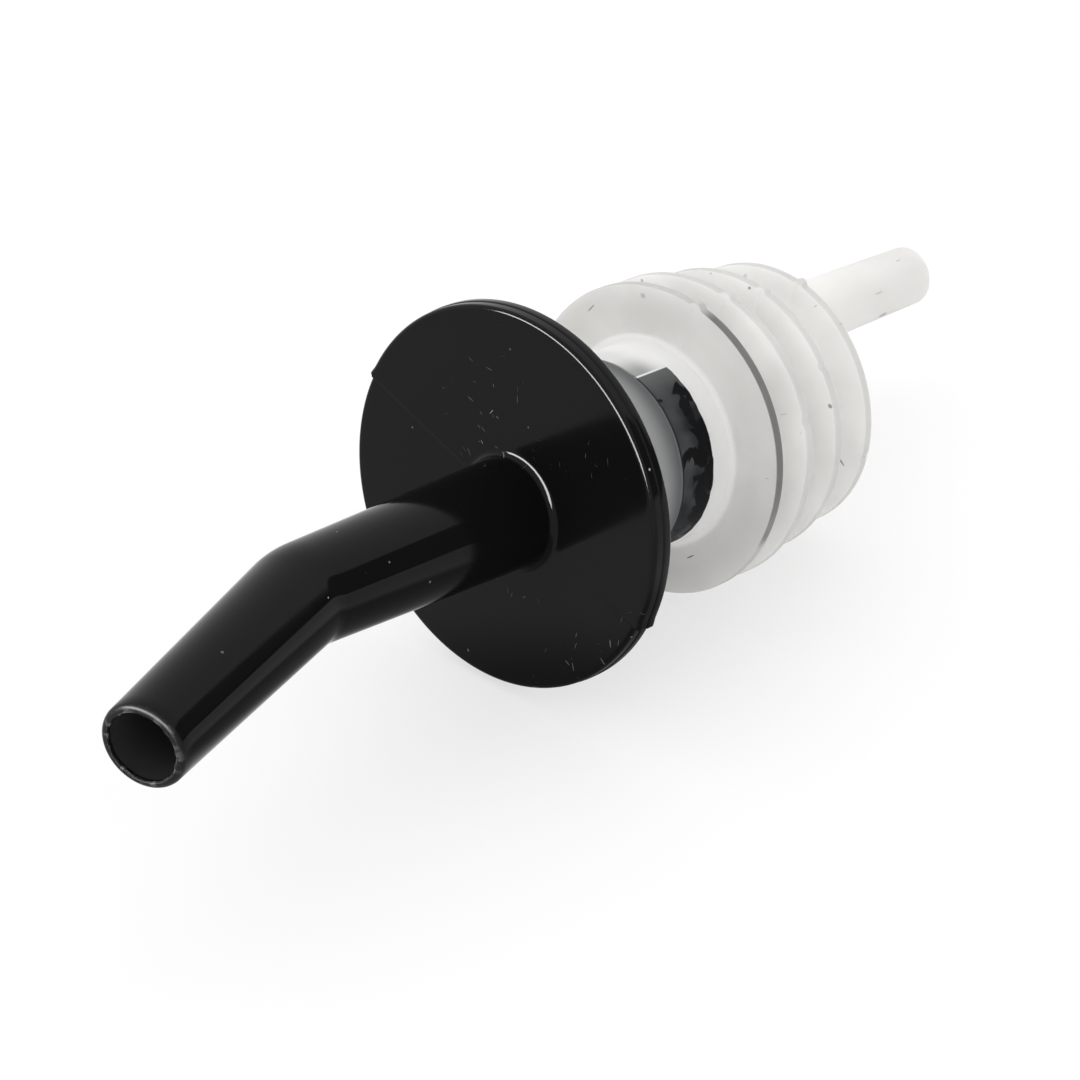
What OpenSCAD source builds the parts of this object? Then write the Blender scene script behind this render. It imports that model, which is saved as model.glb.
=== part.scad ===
// Liquor pourer: a bent spout on a round flange, plugged into a soft stopper with four fins.
// Two balls in a chamber below the spout meter each pour, and a third guards the breather tube.
// Origin at the centre of the flange's underside, which sits on the bottle's lip.
// +Z runs up the spout, and +X is the side that it pours to.

/* [Flange] */
// Outside diameter of the flange
flange_d = 29.8; // [27:0.1:34]
// Thickness of the flange
flange_t = 1.9; // [1.4:0.1:2.4]
// Rounding of the flange's rim edges
flange_edge_r = 0.45; // [0.2:0.05:0.6]
// Depth of the air notch in the underside of the flange
vent_notch_h = 0.5; // [0.3:0.1:0.7]
// Width of the air notch and of the groove that it leads to
vent_w = 2.4; // [1.6:0.1:3]

/* [Spout] */
// Offset of the spout and chamber from the flange's centre
spout_offset = 1.1; // [0.9:0.1:1.5]
// Height of the bend above the flange
spout_straight_h = 22.1; // [20:0.1:30]
// Angle of the bend
spout_bend = 16.5; // [10:0.5:25]
// Length from the bend to the mouth
spout_tip_len = 20.7; // [14:0.1:24]
// Outside diameter at the flange
spout_base_d = 8.5; // [8:0.1:9.4]
// Outside diameter of the two legs at the bend
spout_bend_d = 7.6; // [7:0.1:8]
// Swell of the round knees that join the two legs, outside and in the bore
spout_knee_swell = 0.05; // [0.02:0.01:0.1]
// Outside diameter at the mouth
spout_mouth_d = 6.5; // [5.9:0.1:6.8]
// Bore of the spout
spout_bore_d = 4.9; // [4.4:0.1:5.1]
// Fillet between the spout and the flange
spout_fillet_r = 0.6; // [0.3:0.1:1]

/* [Plug] */
// Outside diameter of the stopper's sleeve
neck_d = 15.7; // [15.6:0.1:17]
// How far the collar and the stopper's front lip stand out from the sleeve
lip_step = 0.12; // [0.05:0.01:0.3]
// Length of the bare collar under the flange
collar_h = 2.9; // [2.2:0.1:4]
// Length of the stopper's front lip, which covers the round part of the plug
lip_h = 6.7; // [5.5:0.1:7.5]
// Length of the flat-sided tenon behind it
tenon_h = 3.7; // [3:0.1:5]
// Wall between the chamber's socket and the flat side of the tenon
tenon_wall = 0.5; // [0.4:0.05:0.8]
// Depth of the air groove in the side of the plug
vent_groove_h = 2.5; // [1.5:0.1:3]
// Depth of the throat's edge, where the lead ball shuts the spout, below the flange
throat_depth = 2.5; // [1.5:0.1:3]

/* [Stopper] */
// Wall of the stopper's sleeve
sleeve_t = 0.55; // [0.4:0.05:0.6]
// Depth of the stopper's rear end below the flange
stopper_depth = 31.9; // [30.7:0.1:36]
// Widening of the sleeve from the first fin to its rear end, on each side
stopper_flare = 0.35; // [0.2:0.05:1]
// Rounding of the rear edge
stopper_edge_r = 0.5; // [0.2:0.05:0.6]
// Depth of the first fin below the flange
fin_1_depth = 15.4; // [14:0.1:16]
// Place of the second fin, as a share of the way from the first fin to the rear end
fin_2_share = 0.224; // [0.2:0.002:0.32]
// Place of the third fin, as the same share
fin_3_share = 0.504; // [0.44:0.002:0.6]
// Place of the fourth fin, as the same share
fin_4_share = 0.8; // [0.74:0.002:0.83]
// Diameter of the first fin
fin_1_d = 24.6; // [24.5:0.1:27]
// Diameter of the second fin
fin_2_d = 24.4; // [22:0.1:24.4]
// Diameter of the third fin
fin_3_d = 22.9; // [21:0.1:24]
// Diameter of the fourth fin
fin_4_d = 21.4; // [19:0.1:23]
// Thickness of a fin at its rim
fin_rim_t = 0.8; // [0.6:0.05:1.1]
// Rounding of a fin's two rim edges
fin_edge_r = 0.12; // [0.05:0.01:0.2]
// Thickness of a fin at its root
fin_root_t = 1.3; // [1.1:0.05:1.6]

/* [Metering chamber] */
// Diameter of the two metering balls
metering_ball_d = 5.6; // [5.3:0.1:5.8]
// Wall of the chamber's tube
chamber_wall = 0.6; // [0.5:0.05:0.7]
// Length of the chamber's tube inside the plug
chamber_spigot_h = 6; // [3:0.5:8]
// Thickness of the rear plate, which stops the balls
rear_plate_t = 2; // [1.5:0.1:3]
// Thickness of the front and middle plates
plate_t = 1.2; // [0.8:0.1:1.6]
// Number of inlet ports in the rear plate
inlet_count = 4; // [3:1:4]
// Diameter of an inlet port
inlet_d = 1.6; // [1.2:0.1:1.8]
// Diameter of the circle that the inlet ports lie on
inlet_circle_d = 4; // [3.6:0.1:4.2]

/* [Breather] */
// Inset of the breather's boss from the edge of the chamber's plates
boss_inset = 0.04; // [0:0.01:0.3]
// Length of the breather tube behind the stopper
tube_len = 22.2; // [16:0.2:28]
// Outside diameter of the tube at the stopper
tube_root_d = 5.6; // [5:0.1:5.8]
// Outside diameter of the tube at its end
tube_end_d = 4.9; // [4.7:0.1:5.4]
// Bore that the air takes
air_bore_d = 2; // [1.6:0.1:2.2]
// Diameter of the tube's spigot inside the rear plate's boss
tube_spigot_d = 3; // [2.8:0.1:3]
// Length of the tube's spigot
tube_spigot_h = 4.5; // [3:0.1:6]
// Wall of the boss round the spigot
boss_wall = 0.4; // [0.3:0.05:0.4]
// Diameter of the breather ball
breather_ball_d = 3.3; // [3:0.1:3.4]
// Free length of the breather ball's room, from its seat to the bush
ball_room_h = 6; // [4.5:0.1:9]
// Length of the bush that keeps the ball in
bush_h = 2; // [1.4:0.1:3]
// Bore of the bush
bush_bore_d = 1.8; // [1.2:0.1:2.4]

/* [Fits] */
// Play of a ball in its bore, on each side
ball_play = 0.3; // [0.2:0.05:0.35]
// Gap between a ball and its end stop
stop_gap = 0.2; // [0.1:0.05:0.3]
// Gap of the pushed-together pieces, on each side
push_gap = 0.03; // [0.01:0.01:0.05]

/* [Hidden] */
$fn = 96;
black = [0.09, 0.09, 0.09];
natural = [0.88, 0.88, 0.86];
steel = [0.68, 0.69, 0.7];
overcut = 1;

// Radii
flange_r = flange_d / 2;
neck_r = neck_d / 2;
collar_r = neck_r + lip_step;
socket_r = neck_r - sleeve_t;
plug_r = socket_r - push_gap;
rear_r = neck_r + stopper_flare;
bore_r = spout_bore_d / 2;
bend_r = spout_bend_d / 2;
ball_r = metering_ball_d / 2;
chamber_r = ball_r + ball_play;
chamber_out_r = chamber_r + chamber_wall;
spigot_r = tube_spigot_d / 2;
boss_r = spigot_r + push_gap + boss_wall;
breather_offset = plug_r - boss_r - boss_inset;
small_ball_r = breather_ball_d / 2;
ball_room_r = small_ball_r + ball_play;
air_r = air_bore_d / 2;

// Heights along Z, with the flange's underside at 0
bend_z = flange_t + spout_straight_h;
collar_z = -collar_h;
lip_z = collar_z - lip_h;
tenon_z = lip_z - tenon_h;
spigot_z = tenon_z + chamber_spigot_h;
throat_z = -throat_depth;
rear_z = -stopper_depth;
ball_stop_z = rear_z + rear_plate_t;
middle_plate_z = (tenon_z + ball_stop_z) / 2;
tube_end_z = rear_z - tube_len;
bush_z = tube_end_z + bush_h;
ball_seat_z = bush_z + ball_room_h;

// Flat side of the tenon, which leaves room for the air beside the chamber's socket
flat_x = spout_offset - chamber_out_r - push_gap - tenon_wall;

// Centres of the balls at rest on their stops, and their free travel up to the seats above
follow_ball_z = ball_stop_z + stop_gap + ball_r;
lead_ball_z = follow_ball_z + stop_gap + metering_ball_d;
breather_ball_z = bush_z + stop_gap + small_ball_r;
lead_travel = throat_z - sqrt(ball_r^2 - bore_r^2) - stop_gap - lead_ball_z;
breather_travel = ball_seat_z - sqrt(small_ball_r^2 - air_r^2) - stop_gap - breather_ball_z;
echo(lead_ball_travel_mm = lead_travel, breather_ball_travel_mm = breather_travel);

// Depth and diameter of each fin
function fin_depth(share) = fin_1_depth + share * (stopper_depth - fin_1_depth);
FINS = [[fin_1_depth, fin_1_d], [fin_depth(fin_2_share), fin_2_d],
        [fin_depth(fin_3_share), fin_3_d], [fin_depth(fin_4_share), fin_4_d]];

// Points along an arc in the plane of a section
function arc(centre, r, a0, a1, steps = 8) =
    [for (i = [0 : steps]) let (a = a0 + (a1 - a0) * i / steps) centre + r * [cos(a), sin(a)]];

// Upright cylinder from one height to another
module post(r, z0, z1) {
    translate([0, 0, z0]) cylinder(r = r, h = z1 - z0);
}

// Places its children on the axis of the spout and chamber
module on_spout_axis() {
    translate([spout_offset, 0, 0]) children();
}

// Places its children on the axis of the breather tube
module on_breather_axis() {
    translate([-breather_offset, 0, 0]) children();
}

// Places its children at the bend, with their Z along the upper leg
module on_upper_leg() {
    translate([spout_offset, 0, bend_z]) rotate([0, spout_bend, 0]) children();
}

// Disc with both rim edges rounded, on the lip plane
module flange_disc() {
    rim_r = flange_r - flange_edge_r;
    rotate_extrude() polygon(concat(
        [[0, 0]], arc([rim_r, flange_edge_r], flange_edge_r, -90, 0),
        arc([rim_r, flange_t - flange_edge_r], flange_edge_r, 0, 90), [[0, flange_t]]
    ));
}

// Concave ring that blends the spout into the flange
module base_fillet() {
    foot_r = spout_base_d / 2 + spout_fillet_r;
    rotate_extrude() polygon(concat(
        [[0, -flange_t / 2], [foot_r, -flange_t / 2]],
        arc([foot_r, spout_fillet_r], spout_fillet_r, 270, 180), [[0, spout_fillet_r]]
    ));
}

// Outside of the spout: two tapered legs, a round knee and a rounded mouth
module spout_outside() {
    round_r = (spout_mouth_d / 2 - bore_r) / 2;
    round_z = spout_tip_len - round_r;
    on_spout_axis() translate([0, 0, flange_t]) {
        cylinder(r1 = spout_base_d / 2, r2 = bend_r, h = spout_straight_h);
        base_fillet();
    }
    on_upper_leg() {
        sphere(r = bend_r + spout_knee_swell);
        rotate_extrude() polygon(concat(
            [[0, 0], [bend_r, 0]], arc([bore_r + round_r, round_z], round_r, 0, 180), [[0, round_z]]
        ));
    }
}

// Passage from the chamber's socket up through the throat to the mouth
module liquid_passage() {
    on_upper_leg() {
        sphere(r = bore_r + spout_knee_swell);
        post(bore_r, 0, spout_tip_len + overcut);
    }
    on_spout_axis() {
        post(bore_r, throat_z - overcut, bend_z);
        translate([0, 0, throat_z - (chamber_r - bore_r)])
            cylinder(r1 = chamber_r, r2 = bore_r, h = chamber_r - bore_r);
        post(chamber_r, spigot_z - overcut, throat_z - (chamber_r - bore_r));
        post(chamber_out_r + push_gap, tenon_z - overcut, spigot_z);
    }
}

// Air notch under the flange and the groove that carries it down the plug, inside the lip
module air_inlet() {
    groove_x = -(neck_r - vent_groove_h);
    translate([-flange_r - overcut, -vent_w / 2, 0])
        cube([flange_r + overcut + groove_x, vent_w, vent_notch_h]);
    translate([-collar_r - overcut, -vent_w / 2, lip_z - overcut])
        cube([collar_r + overcut + groove_x, vent_w, overcut - lip_z]);
}

// Spout, flange, collar and plug with its flat-sided tenon, moulded in one piece
module spout_body() {
    color(black) difference() {
        union() {
            flange_disc();
            spout_outside();
            post(collar_r, collar_z, flange_t / 2);
            difference() {
                post(plug_r, tenon_z, flange_t / 2);
                translate([flat_x - neck_d, -neck_r, tenon_z - overcut])
                    cube([neck_d, neck_d, tenon_h + overcut]);
            }
        }
        liquid_passage();
        air_inlet();
    }
}

// Radius of the sleeve at a depth: straight down to the first fin, then widening to the rear
function sleeve_r(depth) = neck_r
    + (rear_r - neck_r) * max(0, depth - fin_1_depth) / (stopper_depth - fin_1_depth);

// Outline of one fin, tapered from its root on the sleeve to a rim with rounded edges
function fin_outline(depth, d) =
    let (mid = depth + fin_rim_t / 2, above = mid - fin_root_t / 2, below = mid + fin_root_t / 2,
         edge_x = d / 2 - fin_edge_r, edge_h = fin_rim_t / 2 - fin_edge_r)
    concat(
        [[sleeve_r(above), -above]], arc([edge_x, edge_h - mid], fin_edge_r, 90, 0),
        arc([edge_x, -edge_h - mid], fin_edge_r, 0, -90), [[sleeve_r(below), -below]]
    );

// Soft sleeve with a front lip, and four fins that grip the inside of the bottle's neck
module finned_stopper() {
    front_z = collar_z - push_gap;
    color(natural) rotate_extrude() polygon(concat(
        [[socket_r, front_z], [collar_r, front_z], [collar_r, lip_z], [neck_r, lip_z]],
        [for (fin = FINS) each fin_outline(fin[0], fin[1])],
        arc([rear_r - stopper_edge_r, rear_z + stopper_edge_r], stopper_edge_r, 0, -90),
        [[socket_r, rear_z]]
    ));
}

// Tube that the metering balls run in, on three plates, with the boss for the breather
module metering_chamber() {
    color(natural) difference() {
        union() {
            on_spout_axis() post(chamber_out_r, rear_z, spigot_z);
            on_breather_axis() post(boss_r, rear_z, tenon_z);
            post(plug_r, rear_z, ball_stop_z);
            post(plug_r, middle_plate_z - plate_t / 2, middle_plate_z + plate_t / 2);
            post(plug_r, tenon_z - plate_t, tenon_z);
        }
        on_spout_axis() {
            post(chamber_r, ball_stop_z, spigot_z + overcut);
            for (i = [0 : inlet_count - 1])
                rotate([0, 0, (i + 0.5) * 360 / inlet_count]) translate([inlet_circle_d / 2, 0, 0])
                    post(inlet_d / 2, rear_z - overcut, ball_stop_z + overcut);
        }
        on_breather_axis() {
            post(air_r, rear_z - overcut, tenon_z + overcut);
            post(spigot_r + push_gap, rear_z - overcut, rear_z + tube_spigot_h + stop_gap);
        }
    }
}

// Ball that shuts the throat at the end of a pour
module lead_ball() {
    color(steel) on_spout_axis() translate([0, 0, lead_ball_z]) sphere(r = ball_r);
}

// Ball behind it, which travels with it
module follow_ball() {
    color(steel) on_spout_axis() translate([0, 0, follow_ball_z]) sphere(r = ball_r);
}

// Tapered air tube with a spigot at the stopper and the ball's room in its end
module breather_tube() {
    color(natural) on_breather_axis() difference() {
        union() {
            translate([0, 0, tube_end_z])
                cylinder(r1 = tube_end_d / 2, r2 = tube_root_d / 2, h = tube_len);
            post(spigot_r, rear_z - overcut, rear_z + tube_spigot_h);
        }
        post(air_r, ball_seat_z - overcut, rear_z + tube_spigot_h + overcut);
        post(ball_room_r, tube_end_z - overcut, ball_seat_z);
    }
}

// Ball that keeps liquid out of the air passage while pouring
module breather_ball() {
    color(steel) on_breather_axis() translate([0, 0, breather_ball_z]) sphere(r = small_ball_r);
}

// Bush in the tube's end that keeps the ball in and lets the air through
module tube_end_bush() {
    color(natural) on_breather_axis() difference() {
        post(ball_room_r - push_gap, tube_end_z, bush_z);
        post(bush_bore_d / 2, tube_end_z - overcut, bush_z + overcut);
    }
}

spout_body();
finned_stopper();
metering_chamber();
lead_ball();
follow_ball();
breather_tube();
breather_ball();
tube_end_bush();
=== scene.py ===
import bmesh
import bpy
import math
import numpy as np
from mathutils import Matrix


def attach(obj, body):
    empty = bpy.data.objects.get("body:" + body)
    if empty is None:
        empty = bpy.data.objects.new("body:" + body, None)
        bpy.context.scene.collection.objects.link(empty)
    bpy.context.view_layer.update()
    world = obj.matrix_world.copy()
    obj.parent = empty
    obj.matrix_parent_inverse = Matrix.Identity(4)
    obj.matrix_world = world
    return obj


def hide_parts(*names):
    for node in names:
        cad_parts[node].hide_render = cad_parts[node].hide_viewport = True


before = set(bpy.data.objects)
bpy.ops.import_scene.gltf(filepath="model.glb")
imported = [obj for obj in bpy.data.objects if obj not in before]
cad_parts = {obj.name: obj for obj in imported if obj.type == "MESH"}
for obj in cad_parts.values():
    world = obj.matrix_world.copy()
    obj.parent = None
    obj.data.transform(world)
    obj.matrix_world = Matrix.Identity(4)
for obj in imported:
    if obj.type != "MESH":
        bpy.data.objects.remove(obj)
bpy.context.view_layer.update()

# Spout moulding: spout, flange, short collar and plug in one glossy black piece.
# It is injection moulded in two halves that meet in the plane of the bend, with a small
# mismatch step where the halves meet on the flange's rim.
FLANGE_R, FLANGE_T, FLANGE_EDGE_R = 14.77, 1.9, 0.36
HALF_SHIFT, NUB_RISE, NUB_TURN = 0.11, 1.1, 0.03
RIM_STEP_Z, RIM_STEP_IN, RIM_STEP_END = 0.95, 0.07, 0.05
RIM_STEP_LINE = [(0.0, -0.12), (0.01, -0.06), (0.035, 0.0), (RIM_STEP_IN, 0.04)]
SPOUT_X, SPOUT_BASE_R, SPOUT_BEND_R, SPOUT_MOUTH_R, BORE_R = 1.1, 4.25, 3.8, 3.25, 2.45
BEND_Z, BEND_ANGLE, TIP_LEN, ELBOW_R = 24.0, math.radians(16.5), 20.69, 7.0
ELBOW_FROM, ELBOW_TO, LEG_ROWS = 20.5, 24.0, 24
FILLET_R, MOUTH_BORE_R, FLARE_LEN = 0.6, 2.66, 3.0
LIP_LEN, LIP_EDGE_R = 0.5, 0.12
COLLAR_R, COLLAR_Z, PLUG_R, FLAT_Z, PLUG_Z, PLUG_FLAT_X = 7.97, -2.9, 7.27, -9.6, -13.3, -3.13
AIR_W, AIR_GROOVE_X, AIR_NOTCH_H = 1.2, -5.35, 0.5
CHAMBER_R, SOCKET_R, SOCKET_Z, THROAT_Z = 3.1, 3.73, -7.3, -2.5
BLACK, BORE_PAINTED_LIGHT = (0.0035, 0.0035, 0.0037, 1), (0.025, 0.025, 0.026, 1)
PALE_MARK, WORN_LIP_AND_GLINT = (0.26, 0.26, 0.255, 1), (0.11, 0.113, 0.12, 1)
COLLAR_GREY = (0.2, 0.205, 0.21, 1)
FOOT_MARKS = (-0.0046, 0.0046, 0.0019)

# Ragged flash on the mouth's inner edge: the turn, the height and the spread of each bit.
MOUTH_FLASH = [
    (-2.9, 0.10, 0.10), (-2.5, 0.07, 0.06), (-1.9, 0.12, 0.09), (-1.2, 0.06, 0.05), (-0.4, 0.10, 0.08),
    (0.1, 0.07, 0.05), (0.5, 0.13, 0.07), (0.8, 0.08, 0.05), (1.6, 0.11, 0.12), (2.2, 0.05, 0.05),
    (2.8, 0.09, 0.07)]

# Lines round the moulding: the groove's edges and the flat's corners each have one of their own. Those
# at the groove's edges and at the parting plane, a few degrees off the bend's plane, are doubled for a
# step, and one more runs close beside each parting line.
T_GROOVE, T_FLAT, T_PART, T_BESIDE = 0.09, 1.2, 0.13, 0.012
line_t = np.sort(np.concatenate([
    np.linspace(-T_GROOVE, T_GROOVE, 9),
    np.linspace(T_GROOVE, T_FLAT, 40), -np.linspace(T_GROOVE, T_FLAT, 40),
    np.linspace(T_FLAT, np.pi, 66)[1:], -np.linspace(T_FLAT, np.pi, 66)[1:-1],
    [T_PART, T_PART, T_PART - np.pi, T_PART - np.pi, T_PART - T_BESIDE, T_PART - np.pi + T_BESIDE]]))
twin = np.isclose(line_t, np.roll(line_t, 1))
in_groove = (np.abs(line_t) < T_GROOVE - 1e-6) | (np.isclose(line_t, T_GROOVE) & ~twin) | (
    np.isclose(line_t, -T_GROOVE) & twin)
after = (line_t > T_PART + 1e-6) | (np.isclose(line_t, T_PART) & twin)
before = (line_t < T_PART - np.pi - 1e-6) | (np.isclose(line_t, T_PART - np.pi) & ~twin)
half_side = np.where(after | before, -1.0, 1.0)
half_side += (half_side > 0) * NUB_RISE * (np.exp(-((line_t - T_PART) / NUB_TURN) ** 2)
                                           + np.exp(-((line_t - T_PART + np.pi) / NUB_TURN) ** 2))


def line_angles(groove_angle=T_GROOVE, flat_angle=T_FLAT):
    """Angle of each line from -X, moved so that the groove's edge and the flat's corner get theirs."""
    bent = np.interp(np.abs(line_t), [0, T_GROOVE, T_FLAT, np.pi], [0, groove_angle, flat_angle, np.pi])
    return np.sign(line_t) * bent


def ring(radius, z, centre_x=0.0, tilt=0.0, shift=0.0, angles=None):
    """One closed ring: centre plus radius times (-cos, -sin) of each line's angle, tilted about Y,
    with one half's radius larger and the other's smaller by the shift, and a nub where they meet."""
    angles = line_angles() if angles is None else angles
    radius = radius + shift * half_side
    along = -radius * np.cos(angles)
    return np.stack([centre_x + along * math.cos(tilt), -radius * np.sin(angles),
                     z - along * math.sin(tilt)], axis=1)


def tenon_ring(z):
    """Ring of the plug's tenon: its circle, cut straight where x would pass the flat."""
    corner = math.acos(PLUG_FLAT_X / -PLUG_R)
    angles = line_angles(T_GROOVE, corner)
    reach = np.where(np.abs(angles) < corner, PLUG_FLAT_X / -np.cos(angles), PLUG_R)
    return ring(reach, z, angles=angles)


def grooved_ring(radius, z):
    """Ring of the plug or collar: its circle, with the lines of the air groove pushed in to a flat."""
    rim = ring(radius, z, angles=line_angles(math.asin(AIR_W / radius)))
    rim[in_groove, 0] = AIR_GROOVE_X
    return rim


def underside_ring(radius, shift=0.0):
    """Ring on the flange's underside, with the lines of the air notch lifted to its roof."""
    rim = ring(radius, 0.0, shift=shift, angles=line_angles(math.asin(AIR_W / radius)))
    rim[in_groove, 2] = AIR_NOTCH_H
    return rim


def spout_station(s):
    """Centre, tilt and outside radius at a length s along the spout's middle line from the flange:
    a straight leg, an arc of the elbow's radius, and a second straight leg. Last is the whole length."""
    reach = ELBOW_R * math.tan(BEND_ANGLE / 2)
    leg = BEND_Z - FLANGE_T - reach
    arc = ELBOW_R * BEND_ANGLE
    turn = np.clip((s - leg) / ELBOW_R, 0, BEND_ANGLE)
    past = np.maximum(s - leg - arc, 0)
    x = SPOUT_X + ELBOW_R * (1 - np.cos(turn)) + past * np.sin(turn)
    z = FLANGE_T + np.minimum(s, leg) + ELBOW_R * np.sin(turn) + past * np.cos(turn)
    total = leg + arc + TIP_LEN - reach
    radius = np.interp(s, [0, leg + arc / 2, total], [SPOUT_BASE_R, SPOUT_BEND_R, SPOUT_MOUTH_R])
    return x, z, turn, radius, total


def ring_piece(name, rings, material, body, node, zone=None):
    """Mesh from a stack of rings in millimetres, closed round each ring and from the last to the first.
    Doubled points are merged, edges sharper than 40 degrees stay crisp, and the piece rides on its
    body. The zone is one number for each ring, which the material reads."""
    grid = np.asarray(rings) * 0.001
    nu, nv = grid.shape[:2]
    index = np.arange(nu * nv).reshape(nu, nv)
    nxt, side = np.roll(index, -1, axis=0), np.roll(index, -1, axis=1)
    quads = np.stack([index, side, np.roll(side, -1, axis=0), nxt], axis=-1).reshape(-1, 4)
    mesh = bpy.data.meshes.new(name)
    mesh.from_pydata(grid.reshape(-1, 3).tolist(), [], quads.tolist())
    if zone is not None:
        each_point = np.repeat(zone, nv).astype(float)
        mesh.attributes.new("zone", "FLOAT", "POINT").data.foreach_set("value", each_point)
    work = bmesh.new()
    work.from_mesh(mesh)
    bmesh.ops.remove_doubles(work, verts=work.verts, dist=2e-6)
    bmesh.ops.dissolve_degenerate(work, edges=work.edges, dist=1e-7)
    bmesh.ops.recalc_face_normals(work, faces=work.faces)
    work.to_mesh(mesh)
    work.free()
    mesh.shade_smooth()
    mesh.set_sharp_from_angle(angle=math.radians(40))
    piece = bpy.data.objects.new(name, mesh)
    bpy.context.scene.collection.objects.link(piece)
    piece.data.materials.append(material)
    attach(piece, body)
    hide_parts(node)


def add(mat, kind, sockets, **settings):
    """New node in a material, with its settings, and each named socket linked or set to a constant."""
    made = mat.node_tree.nodes.new(kind)
    for key, value in settings.items():
        setattr(made, key, value)
    for key, value in sockets.items():
        if isinstance(value, bpy.types.NodeSocket):
            mat.node_tree.links.new(value, made.inputs[key])
        else:
            made.inputs[key].default_value = value
    return made.outputs


def wire(mat, value, node, socket):
    """Links a value to a socket of a node that is already there."""
    mat.node_tree.links.new(value, node.inputs[socket])


def ramp(mat, value, low, high, start=0.0, end=1.0):
    """Value carried smoothly from start to end as it goes from low to high, and held beyond them."""
    return add(mat, "ShaderNodeMapRange", {"Value": value, "From Min": low, "From Max": high,
               "To Min": start, "To Max": end}, interpolation_type="SMOOTHSTEP")["Result"]


def sum_of(mat, operation, a, b=0.0):
    """One sum of two values, by the name of the operation."""
    return add(mat, "ShaderNodeMath", {0: a, 1: b}, operation=operation)["Value"]


def noise(mat, place, scale, detail, distortion=0.0):
    """Soft cloudy noise between 0 and 1, with that many clouds to a metre."""
    return add(mat, "ShaderNodeTexNoise", {"Vector": place, "Scale": scale, "Detail": detail,
               "Distortion": distortion})["Fac"]


def blend_colour(mat, share, a, b):
    """Colour a turned into colour b by the share."""
    return add(mat, "ShaderNodeMix", {"Factor": share, "A": a, "B": b}, data_type="RGBA")["Result"]


def new_material(name):
    """Fresh node material with its shader and Object coordinates, whole and split."""
    mat = bpy.data.materials.new(name)
    mat.use_nodes = True
    place = add(mat, "ShaderNodeTexCoord", {})["Object"]
    split = add(mat, "ShaderNodeSeparateXYZ", {"Vector": place})
    return mat, mat.node_tree.nodes["Principled BSDF"], place, split


def marks(mat, place, cells, length, width, few):
    """Scattered short strokes: in each cell of a cellular noise the offset from its centre is turned by
    the cell's own chance, squeezed to a stroke, and kept only where that chance is above few."""
    cell = add(mat, "ShaderNodeTexVoronoi", {"Vector": place, "Scale": cells})
    chance = add(mat, "ShaderNodeSeparateColor", {"Color": cell["Color"]})
    offset = add(mat, "ShaderNodeVectorMath", {0: place, 1: cell["Position"]},
                 operation="SUBTRACT")["Vector"]
    turn = sum_of(mat, "MULTIPLY", chance["Red"], 6.28)
    turned = add(mat, "ShaderNodeVectorRotate", {"Vector": offset, "Angle": turn},
                 rotation_type="Z_AXIS")["Vector"]
    stroke = add(mat, "ShaderNodeVectorMath", {0: turned, 1: (1 / length, 1 / width, 1 / length)},
                 operation="MULTIPLY")["Vector"]
    reach = add(mat, "ShaderNodeVectorMath", {0: stroke}, operation="LENGTH")["Value"]
    size = ramp(mat, chance["Green"], few, 1.0)
    inside = sum_of(mat, "SUBTRACT", size, reach)
    strength = ramp(mat, chance["Blue"], 0.0, 1.0, 0.25, 1.0)
    return sum_of(mat, "MULTIPLY", ramp(mat, inside, 0.0, 0.25), strength)


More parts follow.
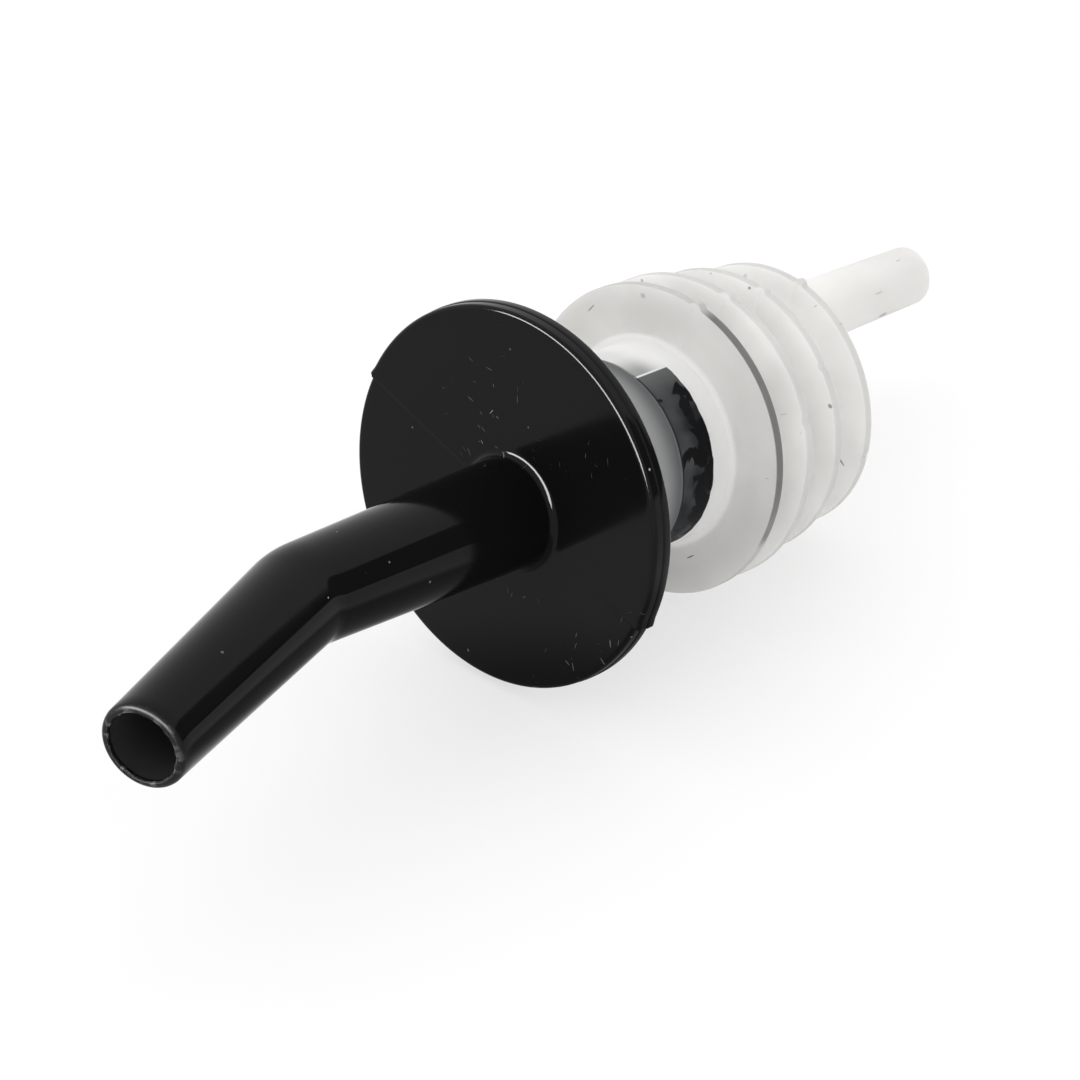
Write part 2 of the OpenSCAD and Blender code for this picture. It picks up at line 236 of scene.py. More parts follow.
def black_plastic():
    """Glossy black plastic: near-black with a fine ripple, pale scratches and dust, a broken parting line
    on the flange's face, a dull grey collar, and worn spots at the mouth where the zone attribute is
    high, which are partly wear and partly painted glints. It is below zero in the bore, which is
    painted a shade lighter as painted light inside it."""
    mat, shade, place, split = new_material("black_plastic")
    shade.inputs["Specular IOR Level"].default_value = 0.125
    haze = noise(mat, place, 90, 6)
    patch = noise(mat, place, 110, 2)
    grit = noise(mat, place, 1100, 3)
    wear = add(mat, "ShaderNodeAttribute", {}, attribute_name="zone")["Fac"]

    scratch = marks(mat, place, 1150, 0.00040, 0.00004, 0.1)
    dust = marks(mat, place, 560, 0.00013, 0.00010, 0.3)
    from_foot = add(mat, "ShaderNodeVectorMath", {0: place, 1: FOOT_MARKS}, operation="DISTANCE")["Value"]
    crowd = sum_of(mat, "MAXIMUM", ramp(mat, patch, 0.62, 0.70), ramp(mat, from_foot, 0.0056, 0.0024))
    pale = sum_of(mat, "MAXIMUM", sum_of(mat, "MULTIPLY", scratch, crowd), dust)
    # Worn spots on the lip: partly wear, partly painted glints along its inner edge.
    worn = sum_of(mat, "MULTIPLY", wear, ramp(mat, grit, 0.55, 0.68))
    on_collar = ramp(mat, split["Z"], -0.0001, -0.0004)
    colour = blend_colour(mat, pale, BLACK, PALE_MARK)
    colour = blend_colour(mat, worn, colour, WORN_LIP_AND_GLINT)
    # Painted light: the bore is painted a shade lighter than the black.
    colour = blend_colour(mat, ramp(mat, wear, 0.0, -1.0), colour, BORE_PAINTED_LIGHT)
    colour = blend_colour(mat, on_collar, colour, COLLAR_GREY)
    wire(mat, colour, shade, "Base Color")

    gloss = sum_of(mat, "ADD", ramp(mat, haze, 0.3, 0.7, 0.06, 0.14),
                   sum_of(mat, "MULTIPLY", on_collar, 0.35))
    satin = sum_of(mat, "ADD", ramp(mat, wear, 0.0, 0.08, 0.0, 0.26), ramp(mat, wear, 0.4, 0.8, 0.0, 0.35))
    wire(mat, sum_of(mat, "ADD", gloss, satin), shade, "Roughness")

    part = add(mat, "ShaderNodeVectorRotate", {"Vector": place, "Angle": -T_PART},
               rotation_type="Z_AXIS")["Vector"]
    off_plane = sum_of(mat, "ABSOLUTE", add(mat, "ShaderNodeSeparateXYZ", {"Vector": part})["Y"])
    below_spout = ramp(mat, split["Z"], 0.0026, 0.0022)
    seam = sum_of(mat, "MULTIPLY", ramp(mat, off_plane, 0.00007, 0.00002), below_spout)
    unbroken = sum_of(mat, "MAXIMUM", ramp(mat, patch, 0.45, 0.6), ramp(mat, split["X"], -0.002, -0.005))
    seam = sum_of(mat, "MULTIPLY", seam, unbroken)
    height = sum_of(mat, "SUBTRACT", sum_of(mat, "MULTIPLY", haze, 0.04),
                    sum_of(mat, "MULTIPLY", seam, 0.8))
    bump = add(mat, "ShaderNodeBump", {"Height": height, "Strength": 0.5, "Distance": 0.00003})["Normal"]
    wire(mat, bump, shade, "Normal")
    return mat


# Rings in order: the plug from its rear end, the collar, the flange's underside, its rim with the step,
# its face, the foot of the spout, the spout's outside, the lip, and the bore back down to the socket.
spout_len = spout_station(0.0)[4]
rings = [ring(SOCKET_R, PLUG_Z, SPOUT_X), tenon_ring(PLUG_Z), tenon_ring(FLAT_Z),
         *[grooved_ring(PLUG_R, z) for z in np.linspace(FLAT_Z, COLLAR_Z, 6)],
         *[grooved_ring(COLLAR_R, z) for z in np.linspace(COLLAR_Z, 0, 5)]]
rings[-1][in_groove, 2] = AIR_NOTCH_H
rim_r = FLANGE_R - FLANGE_EDGE_R
rings += [underside_ring(r, HALF_SHIFT * w) for r, w in zip(np.linspace(COLLAR_R, rim_r, 10)[1:],
                                                           np.linspace(0, 1, 10)[1:])]
rim_turn = np.radians(np.linspace(-90, 90, 21)[1:-1])
rim_line = [(rim_r + FLANGE_EDGE_R * np.cos(a),
             (FLANGE_EDGE_R if a < 0 else FLANGE_T - FLANGE_EDGE_R) + FLANGE_EDGE_R * np.sin(a))
            for a in rim_turn]
step_at = len(rim_turn) // 2
rim_line[step_at:step_at] = [(FLANGE_R - inward, RIM_STEP_Z + lift) for inward, lift in RIM_STEP_LINE]
for radius, z in rim_line:
    edge = ring(radius - RIM_STEP_IN * (z > RIM_STEP_Z + RIM_STEP_END), z, shift=HALF_SHIFT,
                angles=line_angles(math.asin(AIR_W / FLANGE_R)))
    edge[in_groove, 2] = np.maximum(edge[in_groove, 2], AIR_NOTCH_H)
    rings.append(edge)
rim_r -= RIM_STEP_IN
foot_r = SPOUT_BASE_R + FILLET_R
for w in np.linspace(0, 1, 24):
    rings.append(ring(rim_r + (foot_r - rim_r) * w, FLANGE_T, SPOUT_X * w,
                      shift=HALF_SHIFT * max(0.0, 1 - 6 * w)))
for a in np.radians(np.linspace(270, 180, 10)[1:]):
    rings.append(ring(foot_r + FILLET_R * math.cos(a), FLANGE_T + FILLET_R + FILLET_R * math.sin(a),
                      SPOUT_X))
leg_s = np.concatenate([np.linspace(FILLET_R, ELBOW_FROM, LEG_ROWS)[1:],
                        np.linspace(ELBOW_FROM, ELBOW_TO, LEG_ROWS)[1:],
                        np.linspace(ELBOW_TO, spout_len - LIP_LEN, LEG_ROWS)[1:]])
for s in leg_s:
    x, z, tilt, radius, _ = spout_station(s)
    rings.append(ring(radius, z, x, tilt))
mouth_x, mouth_z, tilt, _, _ = spout_station(spout_len - LIP_LEN)
flash = sum(w * np.exp(-(np.angle(np.exp(1j * (line_angles() - t))) / b) ** 2) for t, w, b in MOUTH_FLASH)
mouth_from = len(rings)
crest_r = MOUTH_BORE_R + LIP_EDGE_R
lip_turn = np.concatenate([np.linspace(0, 90, 15)[1:], np.linspace(90, 180, 8)[1:-1]])
for a in np.radians(lip_turn):
    inner = max(0.0, -math.cos(a)) ** 2
    reach = (SPOUT_MOUTH_R - crest_r if a < math.pi / 2 else LIP_EDGE_R) * math.cos(a)
    ahead_by = LIP_LEN * math.sin(a) if a < math.pi / 2 else LIP_LEN - LIP_EDGE_R * (1 - math.sin(a))
    rings.append(ring(crest_r + reach - flash * inner, mouth_z + ahead_by * math.cos(tilt),
                      mouth_x + ahead_by * math.sin(tilt), tilt))
mouth_to = len(rings)
for s in leg_s[::-1]:
    x, z, tilt, _, _ = spout_station(s)
    flare = (MOUTH_BORE_R - BORE_R) * max(0.0, 1 - (spout_len - LIP_LEN - s) / FLARE_LEN) ** 2
    rings.append(ring(BORE_R + flare, z, x, tilt))
rings += [ring(BORE_R, z, SPOUT_X) for z in np.linspace(FLANGE_T, THROAT_Z, 5)]
rings += [ring(CHAMBER_R, THROAT_Z - (CHAMBER_R - BORE_R), SPOUT_X), ring(CHAMBER_R, SOCKET_Z, SPOUT_X),
          ring(SOCKET_R, SOCKET_Z, SPOUT_X)]
spout_zone = np.zeros(len(rings))
spout_zone[mouth_from:mouth_to] = lip_turn / 180
spout_zone[mouth_to:] = -1.0
ring_piece("spout_moulding", rings, black_plastic(), "pourer", "spout_body", spout_zone)

# Finned stopper: a soft sleeve of milky polyethylene with four thin fins that fold in the bottle's neck.
# It is moulded in two halves, which leaves a parting line and a nub on each fin, and pushed over the plug.
STOPPER_SEGMENTS = 256
SLEEVE_IN_R, SLEEVE_R, STOPPER_REAR_R, STOPPER_REAR_Z = 7.3, 7.85, 8.2, -31.9
SLEEVE_GAP, SLEEVE_EDGE, REAR_EDGE_R = 0.03, 0.1, 0.5
FIN_DEPTHS = np.array([15.4, 19.096, 23.716, 28.6])
FIN_RADII = np.array([12.3, 12.2, 11.45, 10.7])
FIN_TEARS = np.radians([0, 50, 66, 20])
FIN_ROOT_T, FIN_RIM_T, FIN_EDGE_R, FIN_FILLET, FIN_FOOT = 1.3, 0.8, 0.12, 0.12, 0.25
FIN_WAVE_TWO, FIN_WAVE_THREE = 0.10, 0.06
PARTING_TURN, DARK_RIM_TURN = math.radians(105), math.radians(54)
FIN_NUB, FIN_TEAR, RIDGE, RIDGE_W = 0.32, 0.22, 0.05, 0.09
NUB_SPREAD, TEAR_SPREAD = 0.45 / 12, 0.3 / 12
MILKY, MILKY_SPECK = (0.925, 0.92, 0.91), (0.13, 0.125, 0.12, 1)
LIP_HAZE_REAR, LIP_HAZE_FRONT = (0.125, 0.13, 0.134, 1), (0.37, 0.375, 0.375, 1)
TENON_DARK, TENON_GREY = (0.017, 0.02, 0.023, 1), (0.075, 0.08, 0.084, 1)
TENON_PALE = (0.14, 0.145, 0.145, 1)
TOUCHING_BLACK, CREASE_SHADOW = (0.004, 0.004, 0.005, 1), (0.02, 0.022, 0.024, 1)
GAP_SHADE_NEAR, GAP_SHADE_FAR = (0.38, 0.382, 0.378, 1), (0.78, 0.775, 0.765, 1)
CORNER_HIGHLIGHT = (0.95, 0.95, 0.94, 1)
SLEEVE_WHITE_AND_LIT, FIN_GREY_AND_SHADE = (0.99, 0.985, 0.975, 1), (0.64, 0.635, 0.625, 1)
RIM_SHADE, ONE_SIDE_RIM_GREY = (0.52, 0.515, 0.505, 1), (0.21, 0.21, 0.205, 1)


def stopper_profile():
    """Closed outline of the stopper's wall as (radius, z): down the outside, round each fin, round the
    rear edge and back up the inside."""
    front = COLLAR_Z - SLEEVE_GAP
    points = [(SLEEVE_IN_R, front), (COLLAR_R - SLEEVE_EDGE, front), (COLLAR_R, front - SLEEVE_EDGE)]
    points += [(COLLAR_R, z) for z in np.linspace(front - SLEEVE_EDGE, FLAT_Z + 0.05, 10)[1:]]
    points += [(COLLAR_R - 0.03, FLAT_Z), (SLEEVE_R, FLAT_Z - 0.02)]
    for depth, radius in zip(FIN_DEPTHS, FIN_RADII):
        mid = -(depth + FIN_RIM_T / 2)
        top, low = mid + FIN_ROOT_T / 2, mid - FIN_ROOT_T / 2
        root = [SLEEVE_R + (STOPPER_REAR_R - SLEEVE_R) * max(0.0, -h - FIN_DEPTHS[0])
                / (-STOPPER_REAR_Z - FIN_DEPTHS[0]) for h in (top, low)]
        last_r, last_z = points[-1]
        points += [(last_r + (root[0] - last_r) * w, last_z + (top + FIN_FOOT - last_z) * w)
                   for w in np.linspace(0, 1, 5)[1:]]
        edge_r = radius - FIN_EDGE_R
        for w in np.linspace(0, 1, 13):
            points.append((root[0] + (edge_r - root[0]) * w + FIN_FILLET * (1 - w) ** 6,
                           top + (mid + FIN_RIM_T / 2 - top) * w))
        for a in np.radians([60, 30, 0]):
            points.append((edge_r + FIN_EDGE_R * math.cos(a),
                           mid + FIN_RIM_T / 2 - FIN_EDGE_R + FIN_EDGE_R * math.sin(a)))
        for a in np.radians([0, -30, -60, -90]):
            points.append((edge_r + FIN_EDGE_R * math.cos(a),
                           mid - FIN_RIM_T / 2 + FIN_EDGE_R + FIN_EDGE_R * math.sin(a)))
        for w in np.linspace(1, 0, 13)[1:]:
            points.append((root[1] + (edge_r - root[1]) * w + FIN_FILLET * (1 - w) ** 6,
                           low + (mid - FIN_RIM_T / 2 - low) * w))
        points.append((root[1], low - FIN_FOOT))
    for a in np.radians(np.linspace(0, -90, 7)):
        points.append((STOPPER_REAR_R - REAR_EDGE_R + REAR_EDGE_R * math.cos(a),
                       STOPPER_REAR_Z + REAR_EDGE_R + REAR_EDGE_R * math.sin(a)))
    points += [(SLEEVE_IN_R, z) for z in np.linspace(STOPPER_REAR_Z, front, 12)[:-1]]
    return np.array(points)


def stopper_surface():
    """The outline turned about Z. Past the sleeve each fin waves a little along Z, has a nub and a thin
    ridge at the parting line, and a dent where its rim tore on leaving the mould. Also gives how far out
    on its fin each point of the outline is, from 0 on the sleeve to 1 on the rim."""
    profile = stopper_profile()
    close = np.radians([-3, -2, -1.4, -1, -0.7, -0.4, -0.2, 0, 0.2, 0.4, 0.7, 1, 1.4, 2, 3])
    turn = np.sort(np.concatenate([np.linspace(0, 2 * np.pi, STOPPER_SEGMENTS, endpoint=False) + 0.001,
                                   PARTING_TURN + close, PARTING_TURN + np.pi + close]))
    r, z = profile[:, :1], profile[:, 1:]
    fin = np.argmin(np.abs(-z - FIN_DEPTHS - FIN_RIM_T / 2), axis=1)[:, None]
    fin_span = FIN_RADII[fin] - STOPPER_REAR_R
    out = np.clip((r - STOPPER_REAR_R - 0.2) / fin_span, 0, 1)
    wave = FIN_WAVE_TWO * np.cos(2 * turn + 1.3 * fin) + FIN_WAVE_THREE * np.cos(3 * turn - 0.7 * fin)
    near = np.angle(np.exp(1j * (turn - PARTING_TURN)))
    far = np.angle(np.exp(1j * (turn - PARTING_TURN - np.pi)))
    torn = np.angle(np.exp(1j * (turn - FIN_TEARS[fin])))
    nub = FIN_NUB * np.exp(-(near / NUB_SPREAD) ** 4)
    dent = FIN_TEAR * np.exp(-(torn / TEAR_SPREAD) ** 2) * (fin > 0)
    radius = r + (nub - dent) * (out > 0.9)
    ridge = RIDGE * (np.exp(-(near * r / RIDGE_W) ** 2) + np.exp(-(far * r / RIDGE_W) ** 2))
    middle = -FIN_DEPTHS[fin] - FIN_RIM_T / 2
    height = z + wave * out ** 2 + ridge * np.sign(z - middle) * (out > 0.02) * (out < 0.97)
    return (np.stack([radius * np.cos(turn), radius * np.sin(turn), height], axis=2),
            np.clip((r - STOPPER_REAR_R) / fin_span, 0, 1)[:, 0])


def milky_plastic(name, clear, tint):
    """Milky plastic: satin, part see-through, with faint clouds, a few dark specks and hairs."""
    mat, shade, place, _ = new_material(name)
    shade.inputs["Subsurface Weight"].default_value = clear
    shade.inputs["Subsurface Radius"].default_value = (1, 1, 1)
    shade.inputs["Subsurface Scale"].default_value = 0.001
    shade.inputs["Specular IOR Level"].default_value = 0.12
    cloud = noise(mat, place, 160, 5)
    base = blend_colour(mat, ramp(mat, cloud, 0.3, 0.7), tuple(0.9 * c for c in tint) + (1,), tint + (1,))
    speck = sum_of(mat, "MAXIMUM", marks(mat, place, 560, 0.00030, 0.00024, 0.5),
                   marks(mat, place, 460, 0.0006, 0.00008, 0.5))
    wire(mat, blend_colour(mat, speck, base, MILKY_SPECK), shade, "Base Color")
    wire(mat, ramp(mat, cloud, 0.3, 0.7, 0.36, 0.5), shade, "Roughness")
    bump = add(mat, "ShaderNodeBump", {"Height": cloud, "Strength": 0.25, "Distance": 0.0001})["Normal"]
    wire(mat, bump, shade, "Normal")
    through = add(mat, "ShaderNodeBsdfTranslucent", {"Color": tint + (1,)})["BSDF"]
    both = add(mat, "ShaderNodeMixShader", {"Fac": 0.5, 1: shade.outputs["BSDF"], 2: through})["Shader"]
    wire(mat, both, mat.node_tree.nodes["Material Output"], "Surface")
    return mat


def milky_parts(mat):
    """A milky material's coordinates, whole and split, and its base colour so far."""
    nodes = mat.node_tree.nodes
    return (nodes["Texture Coordinate"].outputs["Object"], nodes["Separate XYZ"].outputs,
            nodes["Principled BSDF"].inputs["Base Color"].links[0].from_socket)


def paint(mat, colour):
    """Gives a milky material a new base colour, for what it reflects and for what it lets through."""
    wire(mat, colour, mat.node_tree.nodes["Principled BSDF"], "Base Color")
    wire(mat, colour, mat.node_tree.nodes["Translucent BSDF"], "Color")


def shade_fins(mat):
    """Fins pass more light than the sleeve, and get greyer outwards, most on their rims, partly as thinner
    plastic and partly as painted shade that evens out their shading, the most on the widest fin. The
    widest has a darker rim on one side, and the sleeve in front of it is thick and painted white, partly
    as painted light."""
    place, split, milky = milky_parts(mat)
    out = add(mat, "ShaderNodeAttribute", {}, attribute_name="zone")["Fac"]
    wire(mat, ramp(mat, out, 0.0, 0.15, 0.35, 0.7), mat.node_tree.nodes["Mix Shader"], "Fac")
    rim = ramp(mat, out, 0.975, 0.995)
    behind_first = ramp(mat, split["Z"], -0.0168, -0.0174)
    before_first = sum_of(mat, "MULTIPLY", ramp(mat, split["Z"], -0.0160, -0.0152),
                          ramp(mat, out, 0.1, 0.0))
    # Greyer outwards: partly thinner plastic, partly painted shade that evens out the fins' shading.
    thin = sum_of(mat, "MULTIPLY", ramp(mat, out, 0.0, 0.6), ramp(mat, behind_first, 0.0, 1.0, 0.38, 0.24))
    # Painted shade: the fins' rims are greyer.
    shaded_rim = sum_of(mat, "MULTIPLY", rim, ramp(mat, behind_first, 0.0, 1.0, 0.6, 0.45))
    # Sleeve in front of the widest fin painted white: partly thicker plastic, partly painted light.
    colour = blend_colour(mat, before_first, milky, SLEEVE_WHITE_AND_LIT)
    colour = blend_colour(mat, thin, colour, FIN_GREY_AND_SHADE)
    colour = blend_colour(mat, shaded_rim, colour, RIM_SHADE)
    # The widest fin's rim is darker on one side, with a patchy strength.
    dark_rim_side = sum_of(mat, "ADD", sum_of(mat, "MULTIPLY", split["X"], math.cos(DARK_RIM_TURN)),
                          sum_of(mat, "MULTIPLY", split["Y"], math.sin(DARK_RIM_TURN)))
    dark_rim = sum_of(mat, "MULTIPLY", sum_of(mat, "SUBTRACT", rim, behind_first),
                   ramp(mat, dark_rim_side, 0.0078, 0.0090))
    patchy = ramp(mat, noise(mat, place, 150, 3), 0.2, 0.6, 0.75, 1.0)
    paint(mat, blend_colour(mat, sum_of(mat, "MULTIPLY", dark_rim, patchy), colour, ONE_SIDE_RIM_GREY))


def show_plug(mat):
    """Dark plug that shows through the stopper's front, painted on it. Under the lip it is a grey haze that
    fades towards the flange. Behind the lip the tenon's round side is darker, and black in soft blotches
    where the two touch, mostly near its rear edge. Its corner is a painted highlight, a bright line, with
    painted shade in the gap over the flat past it, and a painted shadow line follows the lip's edge."""
    place, split, milky = milky_parts(mat)
    x, z = split["X"], split["Z"]
    blotch = noise(mat, place, 440, 2, 0.8)
    fine = noise(mat, place, 240, 2)

    haze = blend_colour(mat, ramp(mat, z, -0.0097, -0.0070), LIP_HAZE_REAR, LIP_HAZE_FRONT)
    grey = blend_colour(mat, ramp(mat, fine, 0.35, 0.65), TENON_DARK, TENON_GREY)
    grey = blend_colour(mat, ramp(mat, x, 0.0010, -0.0014), grey, TENON_PALE)
    rear = sum_of(mat, "SUBTRACT", ramp(mat, z, -0.0103, -0.0126, -0.10, 0.16),
                  ramp(mat, x, 0.0015, -0.0013, 0.0, 0.2))
    contact = ramp(mat, sum_of(mat, "ADD", blotch, rear), 0.53, 0.57)
    tenon = blend_colour(mat, contact, grey, TOUCHING_BLACK)
    # Painted shade in the gap over the flat, greyest next to the corner.
    gap = blend_colour(mat, ramp(mat, x, -0.0018, -0.0042), GAP_SHADE_NEAR, GAP_SHADE_FAR)

    ragged = sum_of(mat, "ADD", z, sum_of(mat, "MULTIPLY", sum_of(mat, "SUBTRACT", blotch, 0.5), 0.0005))
    in_tenon = ramp(mat, ragged, -0.01335, -0.01328)
    over_gap_shade = sum_of(mat, "MULTIPLY", in_tenon, ramp(mat, z, -0.0132, -0.0108, 0.1, 1.0))
    # Painted highlight: a bright line along the tenon's corner.
    corner = sum_of(mat, "MULTIPLY", in_tenon, ramp(mat, x, -0.00170, -0.00162))
    round_side = sum_of(mat, "MULTIPLY", in_tenon, ramp(mat, x, -0.00152, -0.00144))
    # Painted shadow: a dark line along the lip's edge.
    crease = sum_of(mat, "MULTIPLY", ramp(mat, z, -0.00994, -0.00988),
                    ramp(mat, fine, 0.35, 0.55, 0.2, 0.9))
    off_groove = sum_of(mat, "MAXIMUM", ramp(mat, sum_of(mat, "ABSOLUTE", split["Y"]), 0.0010, 0.0014),
                        ramp(mat, x, -0.001, 0.001))
    in_lip = sum_of(mat, "MULTIPLY", ramp(mat, z, -0.00963, -0.00959), off_groove)
    colour = blend_colour(mat, over_gap_shade, milky, gap)
    colour = blend_colour(mat, corner, colour, CORNER_HIGHLIGHT)
    colour = blend_colour(mat, round_side, colour, tenon)
    colour = blend_colour(mat, crease, colour, CREASE_SHADOW)
    paint(mat, blend_colour(mat, in_lip, colour, haze))


milky_soft = milky_plastic("milky_soft", 0.8, MILKY)
shade_fins(milky_soft)
show_plug(milky_soft)
stopper_rings, fin_zone = stopper_surface()
ring_piece("stopper", stopper_rings, milky_soft, "pourer", "finned_stopper", fin_zone)

# Metering chamber: firm milky insert on three plates, pushed into the plug and the stopper from behind.
# The balls run in its tube, and the breather tube plugs into the boss of its rear plate. The small bush
# in the breather's end is moulded of the same plastic and pushed in.
MILKY_FIRM = (0.93, 0.925, 0.91)
milky_firm = milky_plastic("milky_firm", 0.5, MILKY_FIRM)
for name in ("metering_chamber", "tube_end_bush"):
    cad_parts[name].data.materials.clear()
    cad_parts[name].data.materials.append(milky_firm)

# Balls: polished stainless balls, two in the chamber and one in the breather's end.
# They are ground and tumbled, which leaves fine scratches and a faint cloud in the polish.
STEEL_DARK, STEEL_PALE = (0.52, 0.53, 0.54, 1), (0.66, 0.665, 0.67, 1)
steel, polish, place, _ = new_material("ball_steel")
polish.inputs["Metallic"].default_value = 1.0
cloud = noise(steel, place, 900, 4)
wire(steel, blend_colour(steel, cloud, STEEL_DARK, STEEL_PALE), polish, "Base Color")
fine_scratch = marks(steel, place, 2400, 0.0003, 0.00002, 0.2)
dull = sum_of(steel, "ADD", ramp(steel, cloud, 0.3, 0.7, 0.10, 0.2),
              sum_of(steel, "MULTIPLY", fine_scratch, 0.3))
wire(steel, dull, polish, "Roughness")
for name in ("lead_ball", "follow_ball", "breather_ball"):
    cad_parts[name].data.materials.clear()
    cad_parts[name].data.materials.append(steel)

# Breather tube: tapered milky tube that lets air in behind the liquid, with a ball's room in its end.
# It is moulded in one piece, and its spigot is pushed into the chamber's boss.
TUBE_X, TUBE_ROOT_R, TUBE_END_R, TUBE_END_Z, TUBE_EDGE = -5.3, 2.8, 2.45, -54.1, 0.15
TUBE_SPIGOT_R, TUBE_SPIGOT_Z, AIR_R, BALL_ROOM_R, BALL_SEAT_Z = 1.5, -27.4, 1.0, 1.95, -46.1
MILKY_TUBE = (0.85, 0.843, 0.83)


def tube_surface():
    """Outline of the tube's wall as (radius, z), turned about the tube's own axis."""
    taper_end = TUBE_END_Z + TUBE_EDGE
    outline = [(AIR_R, TUBE_SPIGOT_Z), (TUBE_SPIGOT_R - TUBE_EDGE, TUBE_SPIGOT_Z),
               (TUBE_SPIGOT_R, TUBE_SPIGOT_Z - TUBE_EDGE), (TUBE_SPIGOT_R, STOPPER_REAR_Z)]
    outline += [(TUBE_ROOT_R + (TUBE_END_R - TUBE_ROOT_R) * w,
                 STOPPER_REAR_Z + (taper_end - STOPPER_REAR_Z) * w) for w in np.linspace(0, 1, 24)]
    outline += [(TUBE_END_R - 0.05, TUBE_END_Z + 0.04), (TUBE_END_R - TUBE_EDGE, TUBE_END_Z),
                (BALL_ROOM_R, TUBE_END_Z), (BALL_ROOM_R, BALL_SEAT_Z), (AIR_R, BALL_SEAT_Z)]
    outline = np.array(outline)
    turn = np.linspace(0, 2 * np.pi, 128, endpoint=False)
    return np.stack([TUBE_X + outline[:, :1] * np.cos(turn), outline[:, :1] * np.sin(turn),
                     outline[:, 1:] + 0 * turn], axis=2)


milky_tube = milky_plastic("milky_tube", 0.8, MILKY_TUBE)
ring_piece("breather", tube_surface(), milky_tube, "pourer", "breather_tube")

# Floor: white table that the pourer lies on, touching its flange and its last fin. It glows a little, as
# a light table does, and keeps the shadow. It is clear from behind, so that it hides nothing in views
# from below it.
FLOOR_R = 0.6
FLOOR_GLOW, FLOOR_GREY = 0.62, (0.27, 0.27, 0.27, 1)
FLOOR_GLOW_UNSEEN, FLOOR_GREY_UNSEEN = 0.75, (0.4, 0.4, 0.4, 1)
up = np.array([-0.4475, 0.8831, 0.1411])
camera_right = np.array([0.61744, 0.42832, -0.65978])
floor_point = up * -0.01477
ahead = np.cross(up, camera_right)
ahead /= np.linalg.norm(ahead)
across = np.cross(ahead, up)


def floor_surface():
    """Flat disc of rings round the floor's point: radius times cos across plus sin ahead."""
    radii = np.concatenate([[0.0], np.linspace(0.05, FLOOR_R, 12)])[:, None, None]
    turn = np.linspace(0, 2 * np.pi, 96, endpoint=False)[None, :, None]
    return floor_point + radii * (np.cos(turn) * across + np.sin(turn) * ahead)


def looked_at(mat):
    """One for what the camera sees, straight or in a mirror or through glass, and zero for other light."""
    ray = add(mat, "ShaderNodeLightPath", {})
    mirrored = sum_of(mat, "MAXIMUM", ray["Is Glossy Ray"], ray["Is Transmission Ray"])
    return sum_of(mat, "MAXIMUM", ray["Is Camera Ray"], mirrored)


floor_grid = floor_surface()
nu, nv = floor_grid.shape[:2]
index = np.arange(nu * nv).reshape(nu, nv)
side = np.roll(index, -1, axis=1)
quads = np.stack([index[:-1], side[:-1], side[1:], index[1:]], axis=-1).reshape(-1, 4)
floor_mesh = bpy.data.meshes.new("floor")
floor_mesh.from_pydata(floor_grid.reshape(-1, 3).tolist(), [], quads[:, ::-1].tolist())
floor = bpy.data.objects.new("floor", floor_mesh)
bpy.context.scene.collection.objects.link(floor)
floor_mat, table, _, _ = new_material("white_table")
table.inputs["Roughness"].default_value = 0.9
table.inputs["Specular IOR Level"].default_value = 0.0
floor_seen = looked_at(floor_mat)
wire(floor_mat, blend_colour(floor_mat, floor_seen, FLOOR_GREY_UNSEEN, FLOOR_GREY), table, "Base Color")
strength = ramp(floor_mat, floor_seen, 0.0, 1.0, FLOOR_GLOW_UNSEEN, FLOOR_GLOW)
glow = add(floor_mat, "ShaderNodeEmission", {"Strength": strength})
lit = add(floor_mat, "ShaderNodeAddShader", {0: table.outputs["BSDF"], 1: glow["Emission"]})
behind = add(floor_mat, "ShaderNodeNewGeometry", {})["Backfacing"]
clear = add(floor_mat, "ShaderNodeBsdfTransparent", {})
both = add(floor_mat, "ShaderNodeMixShader", {"Fac": behind, 1: lit["Shader"], 2: clear["BSDF"]})
wire(floor_mat, both["Shader"], floor_mat.node_tree.nodes["Material Output"], "Surface")
floor.data.materials.append(floor_mat)

# Light: softboxes high on the front left, overhead, low in front and on the right, and a white tent all
# round. Mirrors see a bright card in place of the first, dark cards low on the right for dark streaks,
# and a grey mat on the table with a painted shadow under the pourer.
MAT_GREY, MAT_SHADOW, MAT_SHADOW_TO, MAT_GREY_FROM = 0.9, 0.25, 0.012, 0.028
TENT_GLOW, TENT_GLOW_UNSEEN = 1.0, 0.9


def toward(turn, lift):
    """Direction at a turn from straight ahead, positive to the right, and a lift above the table."""
    turn, lift = math.radians(turn), math.radians(lift)
    return math.cos(lift) * (math.sin(turn) * across + math.cos(turn) * ahead) + math.sin(lift) * up


def facing(turn, lift, distance):
    """Matrix that puts a panel at that direction and distance, level, with its face to the object."""
    back = toward(turn, lift)
    side = np.cross(up, back)
    side /= np.linalg.norm(side)
    over = np.cross(back, side)
    spot = back * distance
    return Matrix([[side[i], over[i], back[i], spot[i]] for i in range(3)] + [[0, 0, 0, 1]])


def lamp(name, turn, lift, distance, width, height, power):
    """Rectangular softbox in that direction, turned to the object, that mirrors don't see."""
    data = bpy.data.lights.new(name, "AREA")
    data.shape = "RECTANGLE"
    data.size, data.size_y = width, height
    data.energy = power
    obj = bpy.data.objects.new(name, data)
    obj.matrix_world = facing(turn, lift, distance)
    obj.visible_glossy = False
    bpy.context.scene.collection.objects.link(obj)


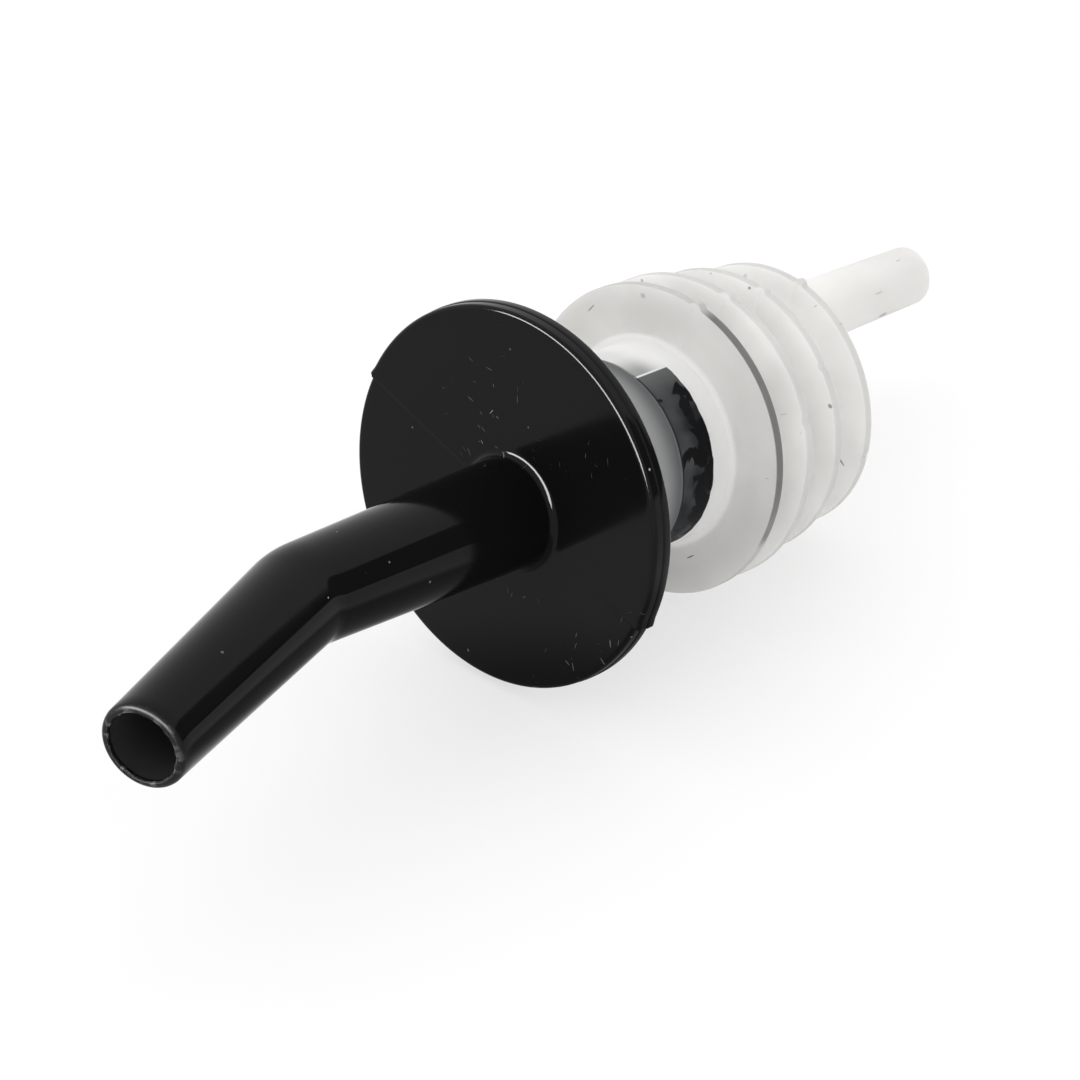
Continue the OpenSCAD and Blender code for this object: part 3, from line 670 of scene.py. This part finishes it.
def card(name, turn, lift, distance, width, height, grey):
    """Matt panel that only mirrors see, level and turned to the object. In a mirror's mirror it is at
    most white. Gives its material."""
    x, y = width / 2, height / 2
    mesh = bpy.data.meshes.new(name)
    spots = np.array([[-x, -y, 0, 1], [x, -y, 0, 1], [x, y, 0, 1], [-x, y, 0, 1]])
    mesh.from_pydata((spots @ np.array(facing(turn, lift, distance)).T)[:, :3].tolist(), [], [(0, 1, 2, 3)])
    obj = bpy.data.objects.new(name, mesh)
    bpy.context.scene.collection.objects.link(obj)
    mat = bpy.data.materials.new(name)
    mat.use_nodes = True
    depth = add(mat, "ShaderNodeLightPath", {})["Ray Depth"]
    glow = add(mat, "ShaderNodeEmission", {"Strength": ramp(mat, depth, 1.0, 2.0, grey, min(grey, 1.0))})
    wire(mat, glow["Emission"], mat.node_tree.nodes["Material Output"], "Surface")
    mesh.materials.append(mat)
    obj.visible_camera = obj.visible_diffuse = obj.visible_transmission = obj.visible_shadow = False
    return mat


lamp("key", -120, 42, 0.6, 0.8, 0.5, 1.3)
lamp("overhead", -15, 58, 0.7, 0.9, 0.9, 3.0)
lamp("fill", -170, 16, 0.6, 0.8, 0.3, 0.9)
lamp("side", 75, 25, 0.6, 0.6, 0.4, 0.9)
card("bright_card", -137, 27, 0.45, 0.8, 0.16, 60.0)
card("dark_card", 78, 6, 0.5, 0.5, 0.11, 0.0)
card("tall_dark_card", 89, 17, 0.48, 0.26, 0.26, 0.1)
grey_mat = card("grey_mat", 0, -89.99, 0.01467, 0.5, 0.5, MAT_GREY)
# Painted shadow: the mat is darker under the pourer, for mirrors only.
under_spout = floor_point + 0.008 * across - 0.013 * ahead
mat_place = add(grey_mat, "ShaderNodeTexCoord", {})["Object"]
away = add(grey_mat, "ShaderNodeVectorMath", {0: mat_place, 1: tuple(under_spout)},
           operation="DISTANCE")["Value"]
mat_grey = ramp(grey_mat, away, MAT_SHADOW_TO, MAT_GREY_FROM, MAT_SHADOW, MAT_GREY)
wire(grey_mat, mat_grey, grey_mat.node_tree.nodes["Emission"], "Strength")
tent = bpy.data.worlds.new("white_tent")
bpy.context.scene.world = tent
tent.use_nodes = True
tent.node_tree.nodes["Background"].inputs["Color"].default_value = (1, 1, 1, 1)
tent_glow = ramp(tent, looked_at(tent), 0.0, 1.0, TENT_GLOW_UNSEEN, TENT_GLOW)
wire(tent, tent_glow, tent.node_tree.nodes["Background"], "Strength")

# Camera: the photograph's viewing angle and lens, level with the photograph's frame.
# It stands still, with no shift and everything sharp.
camera_up = np.array([-0.72898, 0.62672, -0.27533])
camera_back = np.array([0.29557, 0.65096, 0.6992])
eye = np.array([0.091033, 0.191276, 0.206857])
camera = bpy.data.objects.new("camera", bpy.data.cameras.new("camera"))
camera.data.lens = 133.333
camera.data.sensor_width = 36
camera.data.clip_start = 0.01
camera.matrix_world = Matrix([[camera_right[i], camera_up[i], camera_back[i], eye[i]] for i in range(3)]
                             + [[0, 0, 0, 1]])
bpy.context.scene.collection.objects.link(camera)
bpy.context.scene.camera = camera
bpy.context.scene.view_settings.view_transform = "Standard"
